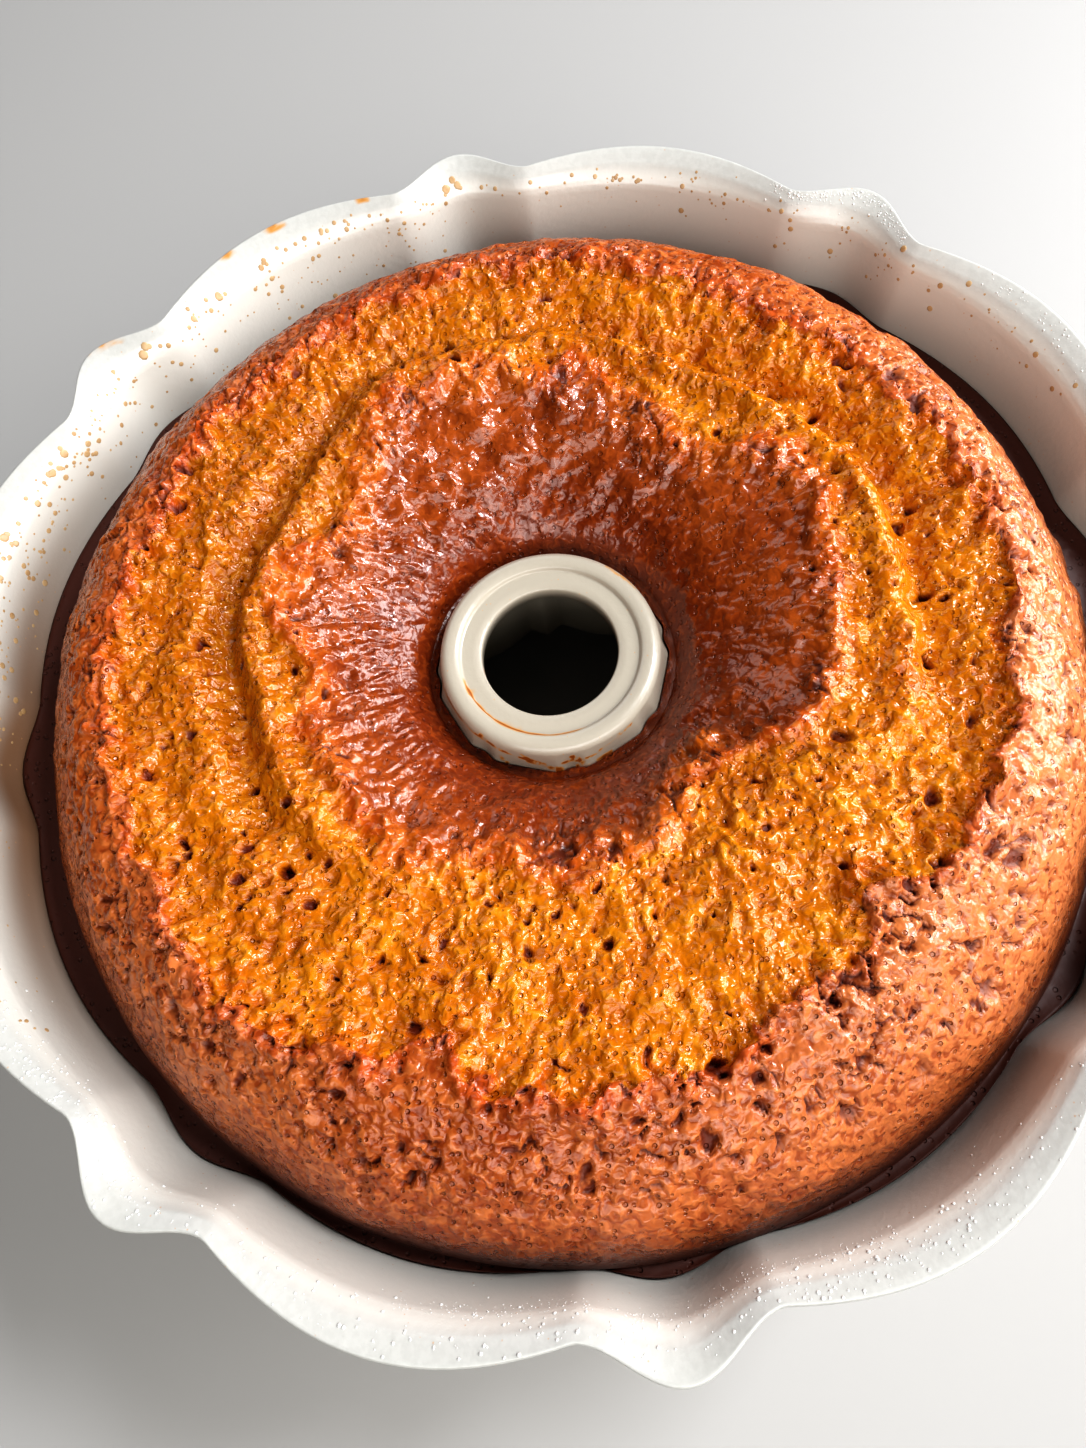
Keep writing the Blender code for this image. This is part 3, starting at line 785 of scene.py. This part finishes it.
def flange_rings(angles):
    """The tin's inner wall above the cake, its bend and the flange out to the rim."""
    rings = [wall_row(z).ring(angles) for z in np.linspace(LEDGE_Z, BEND_Z - 1.6, 12)]
    shares = (0.0, 0.2, 0.45, 0.75, 1.0)
    for t in np.linspace(0.0, 1.0, 16):
        radius = np.interp(t, shares, (BEND_R - 0.15, BEND_R + 0.35, 125.3, 126.9, RIM_R - 0.35))
        z = np.interp(t, shares, (BEND_Z - 0.6, 92.2, 94.2, 95.3, RIM_Z))
        narrow = np.interp(t, (0.0, 0.45, 1.0), (3.85, 5.4, 7.55))
        wide = np.interp(t, (0.0, 0.45, 1.0), (2.95, 4.2, 5.85))
        rings.append(fluted_ring(angles, radius, z, narrow, wide))
    return rings


def tin_rings(angles):
    """The tin's section: tube top, cavity, flange, rim, underside and the tube's bore."""
    def ring(*values):
        return fluted_ring(angles, *values)

    rings = [ring(r, TUBE_TOP_Z + z) for r, z in (
        (HOLE_R, -1.0), (HOLE_R, -0.6), (HOLE_R + 0.15, -0.2), (HOLE_R + 0.45, 0.0), (17.0, 0.0),
        (19.0, 0.0), (19.3, 0.02), (19.55, 0.25), (19.75, 0.7), (20.1, 0.98), (20.8, 1.15), (21.6, 1.22),
        (22.3, 1.2), (22.9, 1.0), (23.5, 0.55), (23.9, -0.1))]
    for drop in np.linspace(0.4, 5.0, 14):
        rings.append(ring(23.9 + 0.27 * drop, TUBE_TOP_Z - drop, -0.12 * drop, -0.12 * drop))
    rings += [tube_row(z).ring(angles) for z in np.linspace(TUBE_SIDE_Z, TUBE_FOOT_Z, 14)]
    inner = list(reversed(bowl_rows((), (85, 77, 68, 60, 52, 43, 34, 26, 17, 8))))
    outer = list(reversed(bowl_rows((6, 13, 20, 27, 34, 41, 48, 55, 62, 70, 81), ())))
    rings += [row.ring(angles) for row in inner + outer]
    rings += [wall_row(z).ring(angles) for z in np.linspace(WALL_FOOT_Z, LEDGE_Z - 2.4, 12)]
    rings += flange_rings(angles)
    for degrees in (30, 75, 120, 165):
        c, s = math.cos(math.radians(degrees)), math.sin(math.radians(degrees))
        middle_z = RIM_Z - 0.5 * RIM_THICKNESS
        rings.append(ring(RIM_R - 0.35 + 0.65 * s, middle_z + 0.5 * RIM_THICKNESS * c, 7.6, 5.9))
    for t in np.linspace(0.0, 1.0, 6)[1:-1]:
        rings.append(ring(mix(RIM_R - 0.6, BEND_R + WALL, t), mix(RIM_Z - RIM_THICKNESS, BEND_Z - 2.6, t),
                          mix(7.5, 3.8, t), mix(5.85, 2.9, t)))
    rings += [wall_row(z).ring(angles, WALL) for z in np.linspace(BEND_Z - 2.4, WALL_FOOT_Z, 18)]
    rings += [row.ring(angles, WALL) for row in reversed(outer[2:])]
    rings += [ring(r, 0.0) for r in (FOOT_OUTER_R, 0.5 * (FOOT_OUTER_R + FOOT_INNER_R), FOOT_INNER_R)]
    rings += [row.ring(angles, WALL) for row in reversed(inner[:-2])]
    rings += [tube_row(z).ring(angles, WALL) for z in np.linspace(TUBE_FOOT_Z, TUBE_SIDE_Z, 10)]
    rings += [ring(20.0, TUBE_TOP_Z - TUBE_TOP_THICKNESS), ring(HOLE_R, TUBE_TOP_Z - TUBE_TOP_THICKNESS)]
    return rings


def segment_distance(angle, height, start, start_z, stop, stop_z):
    """Millimetres on the tube's side, rolled flat, from each point to a straight stroke."""
    across = TUBE_R * (angle - math.radians(start))
    up = height - start_z
    span, rise = TUBE_R * math.radians(stop - start), stop_z - start_z
    t = np.clip((across * span + up * rise) / (span * span + rise * rise), 0.0, 1.0)
    return np.hypot(across - t * span, up - t * rise)


def make_tin():
    angles = np.arange(TIN_ANGLES) * 2.0 * math.pi / TIN_ANGLES
    points = np.array(tin_rings(angles))[::-1]
    radius = np.hypot(points[..., 0], points[..., 1])
    height = points[..., 2]
    angle = np.broadcast_to(angles, radius.shape)
    outer = radius > 110.0
    blotch = smooth_step(-0.2, 0.5, layered_noise(points, 2.2, 3, 201))
    stretched = warp(points * (1.0, 1.0, 0.7), 1.6, 0.9, 209)
    fallen = smooth_step(0.12, 0.4, layered_noise(stretched, 2.4, 3, 205))
    at_top = height > TUBE_MARK_Z
    thick = 0.3 + 0.2 * layered_noise(points, 3.0, 2, 203)
    wander = 0.25 * layered_noise(points, 2.4, 2, 207)
    line = bump(radius, TUBE_RING_R + 0.3, thick) * at_top
    line = line * smooth_step(0.0, 0.2, arc_window(angle, 236.0, 58.0))
    lip_line = bump(height - 0.6 * wander, TUBE_TOP_Z - 1.2, 0.45) * (radius < 26.0)
    lip_line = lip_line * smooth_step(0.0, 0.3, arc_window(angle, 203.0, 32.0))
    drips = np.zeros_like(radius)
    for start, start_z, stop, stop_z, half in TUBE_STAINS:
        away = segment_distance(angle, height, start, start_z, stop, stop_z) + 1.3 * wander
        drips = np.maximum(drips, smooth_step(half, 0.35 * half, away))
    drips = drips * (0.25 + 0.75 * np.maximum(fallen, blotch)) * (radius < 28.0) * (height > 74.0)
    mark = bump(radius, 23.3 + wander, 0.3) * smooth_step(0.0, 0.3, arc_window(angle, 37.0, 15.0)) * at_top
    smudge = sum(arc_window(angle, middle, half) for middle, half in SMUDGES)
    smudge = smudge * smooth_step(95.0, 95.5, height) * outer
    baked = np.maximum.reduce([line, lip_line * (0.35 + 0.65 * blotch), 0.9 * drips, 0.7 * mark,
                               0.6 * smudge * (0.4 + 0.6 * blotch)])
    # The bend and outer flange are greyer: partly streaked enamel, partly painted shade that tones down
    # the light on the bend
    band = outer * smooth_step(92.0, 94.8, height)
    # Painted shade on the inner wall down towards the cake, warm as a painted reflection of the cake: most
    # on the left, where the dome shades the wall, a little on the right
    wall_shade_strength = 0.02 + 0.26 * arc_window(angle, 15.0, 50.0) + 1.0 * arc_window(angle, 182.0, 50.0)
    wall_shade = outer * wall_shade_strength * smooth_step(BEND_Z, LEDGE_Z + 3.0, height) * (radius < 127.0)
    tube = smooth_step(50.0, 40.0, radius)
    return closed_grid("fluted_tin", points, {"baked": baked, "band": band, "wall_shade": wall_shade, "tube": tube})


def tin_material():
    n = Nodes("fluted_tin")
    colour = n.layers(n.mottle(n.noise(25.0, 3.0, 0.5), (206, 203, 194), (211, 209, 201)),
                      # Painted shade and painted reflection of the cake on the inner wall
                      (n.attribute("wall_shade"), (136, 106, 82)),
                      (n.attribute("tube"), (176, 168, 153)))
    turned = n.add("ShaderNodeMapping")
    n.feed(turned.inputs["Vector"], n.place())
    turned.inputs["Scale"].default_value = (1.0, 1.0, 0.1)
    streak = n.ramp(n.noise(700.0, 2.0, place=turned.outputs["Vector"]), 0.35, 0.65)
    banded = n.mottle(streak, (186, 185, 179), (191, 190, 184))
    # Painted shade, with streaks, on the bend and outer flange
    colour = n.blend(n.attribute("band"), colour, banded)
    spots = n.ramp(n.grains(520.0).outputs["Distance"], 0.12, 0.07)
    chosen = n.sum("GREATER_THAN", n.noise(160.0, 1.0), 0.55)
    baked = n.attribute("baked")
    colour = n.layers(colour, (n.part(n.sum("MULTIPLY", spots, chosen), 0.55), (196, 152, 108)),
                      (n.ramp(baked, 0.1, 0.5), (198, 146, 82)),
                      (n.ramp(baked, 0.4, 0.85), (150, 84, 28)))
    n.feed(n.shader.inputs["Base Color"], colour)
    n.shader.inputs["Roughness"].default_value = 0.32
    n.shader.inputs["Coat Weight"].default_value = 0.3
    n.shader.inputs["Coat Roughness"].default_value = 0.16
    n.feed(n.shader.inputs["Normal"], n.bump(n.noise(700.0, 3.0), 0.0002, 0.35))
    return n.material


def scatter_droplets(name, seed, groups, dome):
    """Small domes on the wall and flange. A group is: how many, the arc's middle and half width in
    degrees, where across the flange from 0 at the ledge to 1 at the rim, its spread, and radii. The
    dome's height is a share of the radius."""
    draw = np.random.default_rng(seed)
    angles, across, sizes = [], [], []
    for count, middle, half, place, spread, smallest, largest in groups:
        angles.append(np.radians(middle + half * draw.uniform(-1.0, 1.0, count)))
        across.append(np.clip(place + spread * draw.normal(size=count), 0.06, 0.96))
        sizes.append(mix(smallest, largest, draw.uniform(size=count) ** 3))
    angles, across, sizes = (np.concatenate(v) for v in (angles, across, sizes))
    rings, ahead = np.array(flange_rings(angles)), np.array(flange_rings(angles + 0.002))
    place = across * (len(rings) - 1)
    low = place.astype(int)
    each = np.arange(len(angles))
    t = (place - low)[:, None]
    middle = mix(rings[low, each], rings[low + 1, each], t)
    along = ahead[low, each] - rings[low, each]
    along /= np.linalg.norm(along, axis=1, keepdims=True)
    up = np.cross(along, rings[low + 1, each] - rings[low, each])
    up /= np.linalg.norm(up, axis=1, keepdims=True)
    up *= np.where(np.einsum("ij,ij->i", up, middle * (1, 1, 0) - (0, 0, 60.0))[:, None] < 0.0, 1.0, -1.0)
    side = np.cross(up, along)
    turn = np.arange(DROPLET_SIDES) * 2.0 * math.pi / DROPLET_SIDES
    layers = [(1.0, -0.12), (0.86, 0.5 * dome), (0.5, dome)]
    points = []
    for share, lift in layers:
        for a in turn:
            offset = share * (math.cos(a) * along + math.sin(a) * side) + lift * up
            points.append(middle + sizes[:, None] * offset)
    points.append(middle + 1.15 * dome * sizes[:, None] * up)
    per = len(points)
    faces = [tuple(reversed(range(DROPLET_SIDES)))]
    for k in range(len(layers) - 1):
        for i in range(DROPLET_SIDES):
            j = (i + 1) % DROPLET_SIDES
            a, b = k * DROPLET_SIDES, (k + 1) * DROPLET_SIDES
            faces.append((a + i, a + j, b + j, b + i))
    last = (len(layers) - 1) * DROPLET_SIDES
    faces += [(last + i, last + (i + 1) % DROPLET_SIDES, per - 1) for i in range(DROPLET_SIDES)]
    vertices = np.stack(points, axis=1).reshape(-1, 3) * MM
    mesh = bpy.data.meshes.new(name)
    every = [tuple(v + per * k for v in face) for k in range(len(angles)) for face in faces]
    mesh.from_pydata(vertices.tolist(), [], every)
    mesh.shade_smooth()
    piece = bpy.data.objects.new(name, mesh)
    bpy.context.scene.collection.objects.link(piece)
    return piece


def droplet_material(name, low, high, roughness):
    n = Nodes(name)
    patches = n.ramp(n.noise(300.0), 0.35, 0.65)
    n.feed(n.shader.inputs["Base Color"], n.mottle(patches, low, high))
    n.shader.inputs["Roughness"].default_value = roughness
    return n.material


def wear(piece, material):
    piece.data.materials.clear()
    piece.data.materials.append(material)
    return piece


def make_camera():
    """The photograph's camera: close above the front of the tin, rolled a little to the right."""
    data = bpy.data.cameras.new("camera")
    data.sensor_width = SENSOR_WIDTH
    data.lens = LENS
    data.clip_start = 0.01
    camera = bpy.data.objects.new("camera", data)
    bpy.context.scene.collection.objects.link(camera)
    columns = [CAMERA_RIGHT, CAMERA_UP, [-c for c in CAMERA_FORWARD]]
    turn = Matrix([[column[i] for column in columns] for i in range(3)]).to_4x4()
    camera.matrix_world = Matrix.Translation(CAMERA_PLACE) @ turn
    bpy.context.scene.camera = camera


def area_light(name, azimuth, elevation, size, power, colour):
    """A soft lamp a metre away, in a direction given in degrees, facing the cake."""
    data = bpy.data.lights.new(name, "AREA")
    data.shape = "RECTANGLE"
    data.size, data.size_y = size
    data.energy = power
    data.color = colour
    lamp = bpy.data.objects.new(name, data)
    bpy.context.scene.collection.objects.link(lamp)
    across = math.cos(math.radians(elevation))
    way = Vector((across * math.cos(math.radians(azimuth)), across * math.sin(math.radians(azimuth)),
                  math.sin(math.radians(elevation))))
    lamp.location = way * LIGHT_DISTANCE + Vector((0.0, 0.0, CREST_Z * MM))
    lamp.rotation_euler = way.to_track_quat("Z", "Y").to_euler()


def make_setting():
    bpy.ops.mesh.primitive_plane_add(size=FLOOR_SIZE)
    floor = bpy.context.object
    floor.name = "floor"
    n = Nodes("floor")
    n.shader.inputs["Base Color"].default_value = linear(170, 168, 165)
    n.shader.inputs["Roughness"].default_value = 0.7
    floor.data.materials.append(n.material)
    world = bpy.data.worlds.new("studio")
    world.use_nodes = True
    sky = world.node_tree.nodes["Background"]
    sky.inputs["Color"].default_value = SKY_COLOUR
    sky.inputs["Strength"].default_value = SKY_STRENGTH
    bpy.context.scene.world = world
    for lamp in LAMPS:
        area_light(*lamp)
    bpy.context.scene.view_settings.view_transform = "Standard"
    bpy.context.scene.view_settings.look = "High Contrast"


make_camera()
make_setting()

tin = wear(make_tin(), tin_material())
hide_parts("tin")
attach(tin, "root")

tan = scatter_droplets("tan_droplets", 5, TAN_DROPLETS, TAN_HEIGHT)
wear(tan, droplet_material("tan_droplets", (192, 163, 124), (172, 140, 100), 0.4))
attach(tan, "root")

pale_and_sheen = scatter_droplets("pale_droplets", 6, PALE_DROPLETS, PALE_HEIGHT)
wear(pale_and_sheen, droplet_material("pale_droplets", (210, 209, 204), (220, 220, 216), 0.12))
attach(pale_and_sheen, "root")

cake = wear(make_cake(), cake_material())
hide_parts("cake")
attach(cake, "root")
